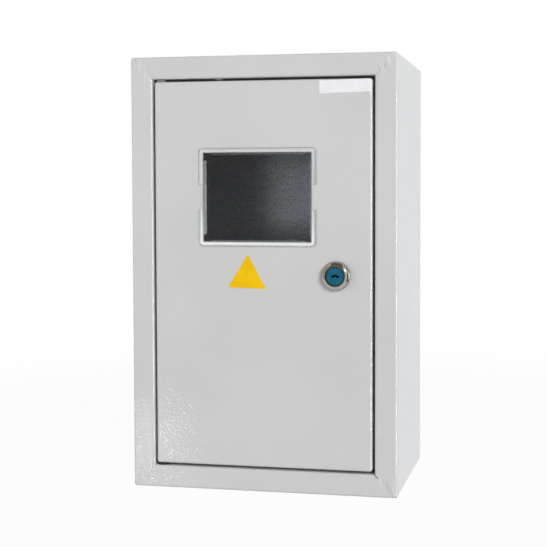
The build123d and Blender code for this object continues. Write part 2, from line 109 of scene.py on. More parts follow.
def from_screen(red, green, blue):
    """Linear colour of a screen colour given in steps of 0 to 255."""
    shares = (red / 255, green / 255, blue / 255)
    return tuple(s / 12.92 if s <= 0.04045 else ((s + 0.055) / 1.055) ** 2.4 for s in shares)


def length_setting(name, description, default):
    """A length that the sidebar shows in the scene's unit."""
    return FloatProperty(name=name, description=description, default=default, unit="LENGTH", precision=5)


def colour_setting(name, description, default):
    """A colour with a picker in the sidebar."""
    return FloatVectorProperty(
        name=name, description=description, default=default, subtype="COLOR", size=3, min=0.0, max=1.0
    )


def share_setting(name, description, default):
    """A share from 0 to 1."""
    return FloatProperty(
        name=name, description=description, default=default, subtype="FACTOR", min=0.0, max=1.0
    )


def angle_setting(name, description, degrees):
    """An angle, given here in degrees."""
    return FloatProperty(name=name, description=description, default=math.radians(degrees), subtype="ANGLE")


def place_setting(name, description, default):
    """A place in the scene."""
    return FloatVectorProperty(
        name=name, description=description, default=default, subtype="XYZ", unit="LENGTH"
    )


def power_setting(name, description, default):
    """The power of a lamp."""
    return FloatProperty(name=name, description=description, default=default, unit="POWER")


class PaintSettings(PropertyGroup):
    """Powder coat on the sheet steel."""

    colour: colour_setting("Colour", "Colour of the powder coat", from_screen(211, 211, 210))
    cloud: colour_setting("Cloud", "Colour where the coat is a little thinner", from_screen(207, 207, 206))
    cloud_size: length_setting("Cloud size", "Size of the thinner patches", 0.09)
    roughness: share_setting("Roughness", "Mean roughness of the coat", 0.09)
    gloss: share_setting("Gloss", "Strength of the coat's reflections", 0.3)
    roughness_range: share_setting("Roughness range", "How far the roughness varies", 0.04)
    peel_size: length_setting("Peel size", "Distance between the bumps of the coat", 0.0015)
    peel_depth: length_setting("Peel depth", "Height of the bumps of the coat", 0.00013)
    seam_width: length_setting("Seam width", "Half width of the ground weld on each mitre", 0.0075)
    # Painted highlight on the ridges of a ground weld and painted shade in its grooves; the darker colour
    # also colours the dark speck.
    seam_highlight: colour_setting("Seam light", "Ridges of a ground weld", from_screen(226, 226, 226))
    groove_shade_and_speck: colour_setting("Seam dark", "Grooves of a ground weld", from_screen(194, 195, 192))
    groove_size: length_setting("Groove size", "Width of the grinding grooves on a weld", 0.0012)
    groove_turn: angle_setting("Groove turn", "Lean of the grinding grooves to the right", -16)
    speck_x: length_setting("Speck X", "Dark speck on the door, sideways", 0.0784)
    speck_z: length_setting("Speck Z", "Dark speck on the door, upwards", 0.1323)
    speck_size: length_setting("Speck size", "Width of the speck", 0.0014)


class MetalSettings(PropertyGroup):
    """Zinc, dull steel, galvanised and chrome finishes."""

    zinc: colour_setting("Zinc", "Bright zinc of the fasteners", from_screen(205, 208, 212))
    zinc_warm: colour_setting("Warm zinc", "Yellowish patches of the zinc", from_screen(206, 200, 184))
    zinc_roughness: share_setting("Zinc roughness", "Least roughness of the zinc", 0.22)
    grey: colour_setting("Grey", "Dull grey steel of the upper hinge", from_screen(122, 125, 130))
    grey_worn: colour_setting("Worn grey", "Where the grey steel is rubbed", from_screen(140, 143, 147))
    grey_sheen: share_setting("Grey sheen", "How far the grey steel is bare metal", 0.3)
    # Painted shade: the lower hinge washer is the same washer as the upper one, darkened because it sits in
    # the shadow of the lower gap.
    painted_shade: colour_setting("Oiled", "Dark oiled steel of the lower hinge", from_screen(58, 59, 62))
    painted_shade_worn: colour_setting("Worn oiled", "Where the oiled steel is rubbed", from_screen(84, 84, 85))
    patch_size: length_setting("Patch size", "Size of the yellowish patches", 0.006)
    scratch_size: length_setting("Scratch size", "Width of the scratches in the zinc", 0.0004)
    galvanised: colour_setting("Galvanised", "Lighter flakes of the sheet", from_screen(154, 157, 162))
    flake: colour_setting("Flake", "Darker flakes of the sheet", from_screen(143, 147, 153))
    flake_size: length_setting("Flake size", "Mean size of a zinc flake", 0.0009)
    sheet_roughness: share_setting("Sheet roughness", "Least roughness of the galvanised sheet", 0.20)
    streak_size: length_setting("Streak size", "Width of the rolling streaks in the sheet", 0.0009)
    chrome: colour_setting("Chrome", "Reflection of the chrome", from_screen(166, 164, 159))
    chrome_roughness: share_setting("Chrome roughness", "Least roughness of the chrome", 0.05)
    smear_size: length_setting("Smear size", "Size of the handling marks on the chrome", 0.005)
    ripple_size: length_setting("Ripple size", "Size of the unevenness under the chrome", 0.0035)


class PlasticSettings(PropertyGroup):
    """Clear window and blue lock core."""

    clear: colour_setting("Clear", "Tint of the window", from_screen(249, 250, 250))
    # This white is also the colour of the painted highlights along the ribs and round the opening.
    frosted: colour_setting("Frosted", "Colour of the ribs behind the window", from_screen(250, 251, 252))
    rib_frost: share_setting("Rib frost", "How much the ribs are frosted", 0.08)
    clear_roughness: share_setting("Clear roughness", "Least roughness of the window", 0.01)
    haze_size: length_setting("Haze size", "Size of the hazy patches of the window", 0.02)
    rim_corner: length_setting("Rim corner", "Rounding of the window's corners", 0.004)
    notch_height: length_setting("Notch height", "Height of the notches in the rim", 0.020)
    notch_depth: length_setting("Notch depth", "Depth of the notches in the rim", 0.0035)
    # Painted shade along the rim: a dark outline, set by the width, strength and colour below.
    edge_width: length_setting("Edge width", "Strip along the rim that turns light away", 0.0011)
    outline_shade_share: share_setting("Edge share", "How much the strip along the rim is dulled", 0.32)
    outline_shade: colour_setting("Edge tone", "Colour of the strip along the rim", from_screen(122, 124, 126))
    rib_inset: length_setting("Rib inset", "Distance from the rim to the inner faces of the ribs", 0.0052)
    # Painted highlights: the rib settings below set a bright line along the ribs, the gleam settings a bright
    # line round the opening.
    rib_line: length_setting("Rib line", "Half width of the bright line where a rib meets the window", 0.0004)
    rib_relief: length_setting("Rib relief", "Distance from the rim's corners to the ribs", 0.0103)
    rib_highlight_share: share_setting("Line share", "How bright the line along a rib is", 0.24)
    gleam_inset: length_setting("Gleam inset", "From the rim to the line round the opening", 0.0026)
    gleam_width: length_setting("Gleam width", "Half width of the bright line round the opening", 0.0022)
    gleam_share: share_setting("Gleam share", "How bright the line round the opening is", 0.9)
    core: colour_setting("Core", "Colour of the lock core", from_screen(26, 100, 125))
    core_deep: colour_setting("Deep core", "Darker streaks of the lock core", from_screen(20, 90, 113))
    # Painted shade where the core meets the chrome ring.
    core_rim_shade: colour_setting("Core edge", "Worn edge of the lock core", from_screen(24, 66, 78))
    core_roughness: share_setting("Core roughness", "Least roughness of the lock core", 0.32)
    flow_size: length_setting("Flow size", "Width of the flow streaks in the core", 0.002)
    grain_size: length_setting("Grain size", "Size of the moulded grain of the core", 0.0006)


class StickerSettings(PropertyGroup):
    """Plain sticker below the window and paper label in the corner of the door."""

    side: length_setting("Side", "Side of the three-cornered sticker", 0.0322)
    corner: length_setting("Corner", "Rounding of its corners", 0.0010)
    thickness: length_setting("Thickness", "Thickness of the film", 0.00015)
    centre_x: length_setting("Centre X", "Middle of the sticker, sideways", -0.0125)
    centre_z: length_setting("Centre Z", "Middle of the sticker, upwards", -0.0016)
    tilt: angle_setting("Tilt", "Turn to the right", 1.7)
    yellow: colour_setting("Yellow", "Colour of the film", from_screen(250, 200, 14))
    worn_yellow: colour_setting("Worn yellow", "Colour where the print is thinner", from_screen(243, 193, 12))
    film_roughness: share_setting("Film roughness", "Least roughness of the film", 0.42)
    label_width: length_setting("Label width", "Width of the paper label", 0.0425)
    label_height: length_setting("Label height", "Height of the paper label", 0.0104)
    label_thickness: length_setting("Label thickness", "Thickness of the paper", 0.0001)
    label_gap: length_setting("Label gap", "Distance from the label to the edges of the door", 0.0008)
    label_tilt: angle_setting("Label tilt", "Turn to the left", 1.4)
    paper: colour_setting("Paper", "Colour of the label", from_screen(243, 243, 246))
    dull_paper: colour_setting("Dull paper", "Colour of the label's fibres", from_screen(237, 237, 240))
    paper_roughness: share_setting("Paper roughness", "Least roughness of the paper", 0.50)


class ThreadSettings(PropertyGroup):
    """Threads of the studs and screws, and the recess of the screws."""

    stud_pitch: length_setting("Stud pitch", "Pitch of the stud thread", 0.0010)
    screw_pitch: length_setting("Screw pitch", "Pitch of the screw thread", 0.0008)
    chamfer: length_setting("Chamfer", "Chamfer of a thread's free end", 0.0007)
    steps: IntProperty(name="Steps", description="Sides of one turn of a thread", default=32, min=12)
    rail_shank: length_setting("Rail shank", "Thread diameter of the rail screws", 0.0050)
    rail_dome: length_setting("Rail dome", "Rounding of the rail screws' heads", 0.0014)
    rail_sheet: length_setting("Rail sheet", "Thickness of the rail under the heads", 0.0010)
    cam_shank: length_setting("Cam shank", "Thread diameter of the cam screw", 0.0040)
    cam_dome: length_setting("Cam dome", "Rounding of the cam screw's head", 0.0012)
    recess_share: share_setting("Recess share", "Length of the cross recess as a share of the head", 0.52)
    recess_width: length_setting("Recess width", "Width of one arm of the cross recess", 0.0011)
    recess_depth: length_setting("Recess depth", "Depth of the cross recess", 0.0016)
    recess_taper: share_setting("Recess taper", "Size of the recess's floor over its mouth", 0.55)
    washer_height: length_setting("Washer height", "Thickness of a hinge washer", 0.0019)
    washer_bore: length_setting("Washer bore", "Bore of a hinge washer", 0.0041)
    washer_edge: length_setting("Washer edge", "Rounding of a hinge washer's edges", 0.0002)


class StageSettings(PropertyGroup):
    """Camera, lamps, floor and background."""

    camera_place: place_setting("Camera", "Place of the camera", (0.2483, -1.0322, 0.0660))
    camera_turn: angle_setting("Camera turn", "Turn to the left", 10.79)
    camera_pitch: angle_setting("Camera pitch", "Tilt upwards", -2.615)
    focal_share: FloatProperty(
        name="Focal share", description="Focal length over sensor width", default=2.060
    )
    shift: FloatVectorProperty(
        name="Shift", description="Lens shift to the right and up", default=(-0.15, -0.05), size=2
    )
    fill: share_setting("Fill", "Strength of the even light from all round", 0.28)
    key_place: place_setting("Key place", "Soft lamp high at the right", (1.98, -2.08, 1.00))
    key_size: length_setting("Key size", "Side of the lamp at the right", 1.3)
    key_power: power_setting("Key power", "Power of the lamp at the right", 60.0)
    key_colour: colour_setting("Key colour", "Tint of the lamp at the right", (0.97, 0.985, 1.0))
    left_place: place_setting("Left place", "Soft lamp far at the left", (-1.30, -0.85, 0.05))
    left_size: length_setting("Left size", "Side of the lamp at the left", 0.9)
    left_power: power_setting("Left power", "Power of the lamp at the left", 7.5)
    left_colour: colour_setting("Left colour", "Tint of the lamp at the left", (1.0, 0.975, 0.94))
    low_place: place_setting("Low place", "Small lamp under the pale floor", (-0.293, -0.64, -0.2555))
    low_size: length_setting("Low size", "Side of the small lamp at the left", 0.03)
    low_power: power_setting("Low power", "Power of the small lamp at the left", 0.105)
    kick_place: place_setting("Kick place", "Small bluish lamp at the right", (0.90, -0.10, -0.08))
    kick_size: length_setting("Kick size", "Side of the small lamp at the right", 0.30)
    kick_power: power_setting("Kick power", "Power of the small lamp at the right", 0.45)
    kick_colour: colour_setting("Kick colour", "Tint of the small lamp at the right", (0.35, 0.60, 1.0))
    edge_place: place_setting("Edge place", "Tall lamp that the bends reflect", (1.83, -0.955, -0.13))
    edge_size: length_setting("Edge width", "Width of the tall lamp", 0.7)
    edge_height: length_setting("Edge height", "Height of the tall lamp", 1.10)
    edge_power: power_setting("Edge power", "Power of the tall lamp", 65.0)
    shine_place: place_setting("Shine place", "Lamp that lock and window reflect", (1.75, -2.10, 1.15))
    shine_size: length_setting("Shine size", "Side of the lamp that the lock reflects", 0.6)
    shine_power: power_setting("Shine power", "Power of the lamp that the lock reflects", 12.0)
    back_place: place_setting("Back place", "Soft lamp behind the cabinet", (-1.50, 1.90, 0.90))
    back_size: length_setting("Back size", "Side of the lamp behind the cabinet", 1.6)
    back_power: power_setting("Back power", "Power of the lamp behind the cabinet", 60.0)
    far_wall: colour_setting("Far wall", "Wall behind the camera, seen in metal", from_screen(146, 147, 150))
    far_wall_place: place_setting("Far place", "Middle of the wall behind the camera", (-0.5, -2.6, 0.6))
    far_wall_size: length_setting("Far size", "Side of the wall behind the camera", 3.0)
    ceiling: colour_setting("Ceiling", "Ceiling, seen in metal", from_screen(139, 118, 100))
    ceiling_place: place_setting("Ceiling place", "Middle of the ceiling", (0.0, -1.2, 1.9))
    ceiling_size: length_setting("Ceiling size", "Side of the ceiling", 2.4)
    left_wall: colour_setting("Left wall", "Wall at the left, seen in metal", from_screen(213, 200, 183))
    left_wall_place: place_setting("Left wall place", "Middle of the wall at the left", (-1.9, -1.3, 0.6))
    left_wall_size: length_setting("Left wall size", "Side of the wall at the left", 2.4)
    right_wall: colour_setting("Right wall", "Wall at the right, seen in metal", from_screen(104, 99, 89))
    right_wall_place: place_setting("Right wall place", "Middle of the right wall", (2.1, -0.60, -0.35))
    right_wall_size: length_setting("Right wall size", "Side of the wall at the right", 1.7)
    floor: colour_setting("Floor", "Colour of the floor", (0.70, 0.70, 0.70))
    floor_lift: share_setting("Floor lift", "White that the floor shows of itself", 0.95)
    floor_near: length_setting("Floor near", "Distance at which the floor starts to fade to white", 0.35)
    floor_far: length_setting("Floor far", "Distance at which the floor is white", 0.9)
    floor_size: length_setting("Floor size", "Side of the floor", 14.0)


class CabinetSettings(PropertyGroup):
    """All settings of the cabinet's looks."""

    paint: PointerProperty(type=PaintSettings)
    metal: PointerProperty(type=MetalSettings)
    plastic: PointerProperty(type=PlasticSettings)
    sticker: PointerProperty(type=StickerSettings)
    thread: PointerProperty(type=ThreadSettings)
    stage: PointerProperty(type=StageSettings)


class Shade:
    """A socket of a node tree that takes part in plain arithmetic, where each step adds a Math node."""

    def __init__(self, socket):
        self.socket = socket

    def node(self, kind, settings=None, inputs=None, output=0):
        """Adds a node of that kind to the same tree, sets it up, feeds its inputs and returns one output."""
        made = self.socket.id_data.nodes.new(kind)
        for name, value in (settings or {}).items():
            setattr(made, name, value)
        for name, value in (inputs or {}).items():
            feed(made.inputs[name], value)
        return Shade(made.outputs[output])

    def math(self, operation, *values):
        """One Math node on those values."""
        return self.node("ShaderNodeMath", {"operation": operation}, dict(enumerate(values)))

    def __add__(self, other):
        return self.math("ADD", self, other)

    def __sub__(self, other):
        return self.math("SUBTRACT", self, other)

    def __rsub__(self, other):
        return self.math("SUBTRACT", other, self)

    def __mul__(self, other):
        return self.math("MULTIPLY", self, other)

    def __abs__(self):
        return self.math("ABSOLUTE", self)

    __radd__ = __add__
    __rmul__ = __mul__

    def larger(self, other):
        """The larger of two values."""
        return self.math("MAXIMUM", self, other)

    def smaller(self, other):
        """The smaller of two values."""
        return self.math("MINIMUM", self, other)

    def across(self, other):
        """The length of the diagonal over two sides."""
        return (self * self + other * other).root()

    def root(self):
        """The square root."""
        return self.math("SQRT", self)

    def rise(self, low, high):
        """A smooth rise from 0 to 1 as the value goes from low to high."""
        inputs = {"Value": self, "From Min": low, "From Max": high}
        return self.node("ShaderNodeMapRange", {"interpolation_type": "SMOOTHSTEP"}, inputs)

    def blend(self, low, high):
        """A colour between two colours, with this value as the share of the second."""
        return self.node("ShaderNodeMix", {"data_type": "RGBA"}, {0: self, 6: low, 7: high}, 2)

    def mixed_with(self, other, share):
        """A surface shader mixed with that share of another one."""
        return self.node("ShaderNodeMixShader", None, {0: share, 1: self, 2: other})

    def axes(self):
        """The three parts of a vector."""
        split = self.node("ShaderNodeSeparateXYZ", None, {"Vector": self}).socket.node
        return [Shade(socket) for socket in split.outputs]

    def noise(self, size, detail=2.0, output=0):
        """Noise over these coordinates with marks of about that size."""
        inputs = {"Vector": self, "Scale": 1 / size, "Detail": detail}
        return self.node("ShaderNodeTexNoise", None, inputs, output)

    def drawn_out(self, rotation, stretch):
        """These coordinates for marks that are longer along Z by that factor, and then turned."""
        inputs = {"Vector": self, "Rotation": rotation, "Scale": (1.0, 1.0, stretch)}
        return self.node("ShaderNodeMapping", {"vector_type": "TEXTURE"}, inputs)

    def bump(self, depth):
        """A surface normal from this height, where 1 stands for that depth."""
        return self.node("ShaderNodeBump", None, {"Height": self, "Distance": depth})


def feed(socket, value):
    """Links a shade to a socket, or sets the socket's own value."""
    if isinstance(value, Shade):
        socket.id_data.links.new(value.socket, socket)
    elif socket.type == "RGBA":
        socket.default_value = (*value, 1.0)
    else:
        socket.default_value = value


def start_finish(name):
    """A new material, its surface shader and the object's own coordinates."""
    material = bpy.data.materials.new(name)
    material.use_nodes = True
    surface = material.node_tree.nodes["Principled BSDF"]
    place = Shade(material.node_tree.nodes.new("ShaderNodeTexCoord").outputs["Object"])
    return material, surface, place


def set_surface(surface, **values):
    """Feeds the sockets of a surface shader, named with underscores for spaces."""
    for name, value in values.items():
        feed(surface.inputs[name.replace("_", " ")], value)


def powder_coat(paint):
    """Grey powder coat: fine orange peel, faint clouds, and ground welds on the mitres of the front frame,
    with painted highlight on their ridges and painted shade in their grooves.
    """
    material, surface, place = start_finish("powder_coat")
    x, y, z = place.axes()
    peel = place.noise(paint.peel_size, 0.0)
    grain = place.noise(paint.peel_size / 4, 1.0)
    cloud = place.noise(paint.cloud_size, 3.0)
    on_front = y.rise(shell_low.y + FRONT_FAR, shell_low.y + FRONT_NEAR)
    on_frame = abs(x).rise(door_high.x + FRAME_NEAR, door_high.x + FRAME_FAR)
    off_mitre = abs(abs(x) - abs(z) + (shell_high.z - shell_high.x))
    seam = (1 - off_mitre.rise(0.0, paint.seam_width)) * on_front * on_frame
    grinding = place.drawn_out((0.0, paint.groove_turn, 0.0), 12.0).noise(paint.groove_size, 2.0)
    # Painted highlight on the grinding ridges and painted shade in the grooves, on top of their relief.
    ridge_with_highlight = seam * grinding.rise(0.50, 0.64)
    groove_with_shade = seam * grinding.rise(0.48, 0.36)
    off_speck = (x - paint.speck_x).across(z - paint.speck_z)
    speck = off_speck.rise(paint.speck_size / 2, paint.speck_size / 4) * on_front
    tone = cloud.rise(0.3, 0.7).blend(paint.cloud, paint.colour)
    ground = ridge_with_highlight.blend(groove_with_shade.blend(tone, paint.groove_shade_and_speck), paint.seam_highlight)
    set_surface(
        surface,
        Base_Color=speck.blend(ground, paint.groove_shade_and_speck),
        Specular_IOR_Level=paint.gloss,
        Roughness=paint.roughness + (grain - 0.5) * paint.roughness_range,
        Normal=(ridge_with_highlight * 0.4 - groove_with_shade * 0.27 + peel + grain * 0.02).bump(paint.peel_depth),
    )
    return material


def galvanised_sheet(metal):
    """Hot-dip zinc: flakes of uneven brightness under faint rolling streaks."""
    material, surface, place = start_finish("galvanised_sheet")
    wander = place.noise(metal.flake_size, 2.0, "Color")
    stir = (metal.flake_size * 0.6,) * 3
    moved = {0: wander, 1: stir, 2: place}
    stirred = place.node("ShaderNodeVectorMath", {"operation": "MULTIPLY_ADD"}, moved)
    cells = {"Vector": stirred, "Scale": 1 / metal.flake_size}
    hue = place.node("ShaderNodeTexVoronoi", None, cells, "Color")
    flake = hue.node("ShaderNodeSeparateColor", None, {0: hue})
    streak = place.drawn_out((0.0, FACE_FRONT, 0.0), 40.0).noise(metal.streak_size, 2.0)
    mark = flake * 0.65 + streak * 0.5
    set_surface(
        surface,
        Base_Color=mark.rise(0.15, 0.95).blend(metal.flake, metal.galvanised),
        Metallic=1.0,
        Roughness=metal.sheet_roughness + (1 - flake) * 0.05 + streak * 0.06,
        Normal=(flake * 0.2 + streak).bump(SPANGLE_DEPTH),
    )
    return material


def zinc_plating(metal):
    """Bright zinc plating with faint yellow patches and fine scratches."""
    material, surface, place = start_finish("zinc_plating")
    patch = place.noise(metal.patch_size, 2.0)
    scratch = place.drawn_out((0.4, 0.7, 0.2), 20.0).noise(metal.scratch_size, 2.0)
    set_surface(
        surface,
        Base_Color=patch.rise(0.45, 0.75).blend(metal.zinc, metal.zinc_warm),
        Metallic=1.0,
        Roughness=metal.zinc_roughness + patch * 0.12 + scratch * 0.08,
        Normal=scratch.bump(SCRATCH_DEPTH),
    )
    return material


def dull_steel(name, metal, tone, worn, sheen):
    """Steel with a dull tone, rubbed a little brighter in patches."""
    material, surface, place = start_finish(name)
    rubbed = place.noise(metal.patch_size / 4, 2.0)
    scratch = place.drawn_out((0.2, 0.9, 0.1), 12.0).noise(metal.scratch_size, 2.0)
    set_surface(
        surface,
        Base_Color=rubbed.rise(0.45, 0.75).blend(tone, worn),
        Metallic=sheen,
        Roughness=0.38 + scratch * 0.16,
        Normal=scratch.bump(SCRATCH_DEPTH),
    )
    return material


def bright_chrome(metal):
    """Polished chrome with a trace of handling marks."""
    material, surface, place = start_finish("bright_chrome")
    smear = place.noise(metal.smear_size, 3.0)
    ripple = place.noise(metal.ripple_size, 1.0)
    set_surface(
        surface,
        Base_Color=metal.chrome,
        Metallic=1.0,
        Roughness=metal.chrome_roughness + smear.rise(0.45, 0.8) * 0.10,
        Normal=ripple.bump(RIPPLE_DEPTH),
    )
    return material


def window_lines(plastic, place):
    """Masks of the painted shade along the window's rim, the painted highlight along its ribs, the painted
    highlight round the opening and what lies above or below the notches.
    """
    x, y, z = place.axes()
    low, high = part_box("window_pane")
    half_width = (high.x - low.x) / 2
    half_height = (high.z - low.z) / 2
    sideways = abs(x - (low.x + half_width))
    upwards = abs(z - (low.z + half_height))
    past_side = sideways - (half_width - plastic.rim_corner)
    past_end = upwards - (half_height - plastic.rim_corner)
    round_corner = past_side.larger(0.0).across(past_end.larger(0.0))
    straight_side = past_side.larger(past_end).smaller(0.0)
    inside_outline = plastic.rim_corner - round_corner - straight_side
    outside_notch = (upwards - plastic.notch_height / 2).larger(half_width - plastic.notch_depth - sideways)
    # Painted shade: a dark outline along the rim's outer edge.
    edge = inside_outline.smaller(outside_notch).rise(plastic.edge_width, plastic.edge_width / 2)
    beside = sideways.rise(half_width - plastic.rib_relief, half_width - plastic.rib_relief - PLACE_SLACK)
    above = upwards.rise(half_height - plastic.rib_relief, half_height - plastic.rib_relief - PLACE_SLACK)
    at_back = y.rise(door_low.y - PANE_FAR, door_low.y - PANE_NEAR)
    # Painted highlight: a bright line where a rib meets the window.
    on_rib = abs(inside_outline - plastic.rib_inset).rise(plastic.rib_line, 0.0)
    line = on_rib * beside.larger(above) * at_back
    below = z.rise(low.z + half_height, low.z + plastic.rim_corner)
    # Painted highlight: a bright line round the opening, brighter below.
    round_opening = abs(inside_outline - plastic.gleam_inset).rise(plastic.gleam_width, 0.0)
    gleam = round_opening * (below * 0.5 + 0.5)
    beside_notch = upwards.rise(plastic.notch_height / 2, plastic.notch_height / 2 + plastic.rib_line)
    return edge, line, gleam, beside_notch


def plain_surface(place, colour, roughness):
    """A second surface shader of one colour, in the tree of those coordinates."""
    return place.node("ShaderNodeBsdfPrincipled", None, {"Base Color": colour, "Roughness": roughness})


def clear_plastic(plastic):
    """Clear moulded plastic with a trace of haze and frosted ribs, with painted shade as a dark outline along
    its rim and painted highlights along the ribs and round the opening.
    """
    material, surface, place = start_finish("clear_plastic")
    haze = place.noise(plastic.haze_size, 3.0)
    wave = place.noise(plastic.haze_size, 1.0)
    set_surface(
        surface,
        Base_Color=plastic.clear,
        Roughness=plastic.clear_roughness + haze.rise(0.4, 0.8) * 0.03,
        IOR=PLASTIC_IOR,
        Transmission_Weight=1.0,
        Normal=wave.bump(WAVE_DEPTH),
    )
    edge, line, gleam, beside_notch = window_lines(plastic, place)
    behind_door_face = place.axes()[1].rise(door_low.y + RIB_NEAR, door_low.y + RIB_FAR)
    ribs = behind_door_face * beside_notch * plastic.rib_frost
    # The ribs are frosted; the lines along them and round the opening are painted highlights in the same
    # white.
    frost_and_highlight = ribs.larger(line * plastic.rib_highlight_share).larger(gleam * plastic.gleam_share)
    frosted = plain_surface(place, plastic.frosted, 0.6)
    # Painted shade: a grey, rough surface mixed in as a dark outline along the rim.
    shadowed = plain_surface(place, plastic.outline_shade, 0.3)
    rimmed = Shade(surface.outputs["BSDF"]).mixed_with(shadowed, edge * plastic.outline_shade_share)
    moulding = rimmed.mixed_with(frosted, frost_and_highlight)
    path = material.node_tree.nodes.new("ShaderNodeLightPath")
    from_lamp = Shade(path.outputs["Is Shadow Ray"]).larger(Shade(path.outputs["Is Diffuse Ray"]))
    passed = place.node("ShaderNodeBsdfTransparent", None, {"Color": plastic.clear})
    whole = moulding.mixed_with(passed, from_lamp)
    feed(material.node_tree.nodes["Material Output"].inputs["Surface"], whole)
    return material


def blue_plastic(plastic):
    """Moulded blue plastic with faint flow streaks and painted shade towards its rim."""
    material, surface, place = start_finish("blue_plastic")
    x, _, z = place.axes()
    low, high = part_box("lock_core")
    radius = (high.z - low.z) / 2
    # Painted shade: the core darkens towards its rim, where it meets the chrome ring.
    edge = (x - lock_x).across(z - (low.z + radius)).rise(radius * 0.84, radius * 0.98)
    flow = place.drawn_out((0.0, math.radians(35), 0.0), 3.3).noise(plastic.flow_size, 3.0)
    grain = place.noise(plastic.grain_size, 2.0)
    tone = flow.rise(0.35, 0.65).blend(plastic.core_deep, plastic.core)
    set_surface(
        surface,
        Base_Color=edge.blend(tone, plastic.core_rim_shade),
        Roughness=plastic.core_roughness + grain * 0.12,
        Specular_IOR_Level=0.3,
        Normal=grain.bump(GRAIN_DEPTH),
    )
    return material


def yellow_film(sticker):
    """Printed vinyl film, a little uneven where it lies over the coat."""
    material, surface, place = start_finish("yellow_film")
    peel = place.noise(FILM_PEEL_SIZE, 2.0)
    print_tone = place.noise(PRINT_PATCH_SIZE, 3.0)
    set_surface(
        surface,
        Base_Color=print_tone.rise(0.35, 0.65).blend(sticker.worn_yellow, sticker.yellow),
        Roughness=sticker.film_roughness + peel * 0.10,
        Specular_IOR_Level=0.15,
        Normal=peel.bump(FILM_DEPTH),
    )
    return material


def label_paper(sticker):
    """Coated white paper with faint fibres."""
    material, surface, place = start_finish("label_paper")
    fibre = place.drawn_out((0.0, 0.5, 0.0), 4.0).noise(FIBRE_SIZE, 3.0)
    stain = place.noise(STAIN_SIZE, 3.0)
    mottle = stain * 0.5 + fibre * 0.5
    set_surface(
        surface,
        Base_Color=mottle.rise(0.4, 0.6).blend(sticker.dull_paper, sticker.paper),
        Roughness=sticker.paper_roughness + fibre * 0.15,
        Normal=fibre.bump(FIBRE_DEPTH),
    )
    return material


def coat_nodes(material, names):
    """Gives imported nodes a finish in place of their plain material."""
    for name in names:
        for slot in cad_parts[name].material_slots:
            slot.material = material


def clear_selection():
    """Object mode with nothing selected."""
    if bpy.context.mode != "OBJECT":
        bpy.ops.object.mode_set(mode="OBJECT")
    bpy.ops.object.select_all(action="DESELECT")


def take_up(*pieces):
    """Selects only these pieces, the first of them active."""
    clear_selection()
    for piece in pieces:
        piece.select_set(True)
    bpy.context.view_layer.objects.active = pieces[0]


def edit(piece, everything=True):
    """Opens a piece in edit mode, with all of it selected or nothing."""
    take_up(piece)
    bpy.ops.object.mode_set(mode="EDIT")
    bpy.ops.mesh.select_mode(type="VERT")
    bpy.ops.mesh.select_all(action="SELECT" if everything else "DESELECT")


def pick(piece, accepts):
    """Selects the vertices whose place passes the test, with the edges and faces between them."""
    mesh = bmesh.from_edit_mesh(piece.data)
    for vertex in mesh.verts:
        vertex.select_set(accepts(vertex.co))
    mesh.select_flush_mode()
    bmesh.update_edit_mesh(piece.data)


def close_edit():
    """Merges doubles, turns the faces outwards and leaves edit mode."""
    bpy.ops.mesh.select_all(action="SELECT")
    bpy.ops.mesh.remove_doubles(threshold=MERGE_DISTANCE)
    bpy.ops.mesh.normals_make_consistent(inside=False)
    bpy.ops.object.mode_set(mode="OBJECT")


def apply_modifier(piece, kind, **settings):
    """Adds a modifier, sets it up and applies it."""
    take_up(piece)
    modifier = piece.modifiers.new(kind.title(), kind)
    for name, value in settings.items():
        setattr(modifier, name, value)
    bpy.ops.object.modifier_apply(modifier=modifier.name)


def combine(piece, operation, tool):
    """Cuts, joins or trims a piece with a tool piece, which is used up."""
    apply_modifier(piece, "BOOLEAN", operation=operation, solver="EXACT", object=tool)
    bpy.data.objects.remove(tool)


def set_down(piece, rotation, place):
    """Turns a piece about the origin, moves it to its place and puts both into its mesh."""
    take_up(piece)
    piece.rotation_euler = rotation
    piece.location = place
    bpy.ops.object.transform_apply(location=True, rotation=True, scale=True)


def finish_piece(piece, name, material, body, replaced=()):
    """Names a piece, smooths its round faces, gives it a finish and hands it to the body that carries it."""
    take_up(piece)
    bpy.ops.object.shade_smooth_by_angle(angle=SMOOTH_ANGLE)
    piece.name = name
    piece.data.name = name
    piece.data.materials.clear()
    piece.data.materials.append(material)
    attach(piece, body)
    if replaced:
        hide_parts(*replaced)
    return piece


def copy_piece(piece, offset):
    """A copy of a piece with its own mesh, moved by the offset."""
    take_up(piece)
    bpy.ops.object.duplicate(linked=False)
    copy = bpy.context.object
    set_down(copy, (0.0, 0.0, 0.0), offset)
    return copy


def draw_line(points):
    """A piece that is one open line: a primitive merged to a point and extruded from point to point."""
    clear_selection()
    bpy.ops.mesh.primitive_plane_add(size=SEED_SIZE)
    piece = bpy.context.object
    edit(piece)
    bpy.ops.mesh.merge(type="CENTER")
    bpy.ops.transform.translate(value=points[0])
    for start, end in zip(points, points[1:]):
        bpy.ops.mesh.extrude_region_move(TRANSFORM_OT_translate={"value": end - start})
    bpy.ops.object.mode_set(mode="OBJECT")
    return piece


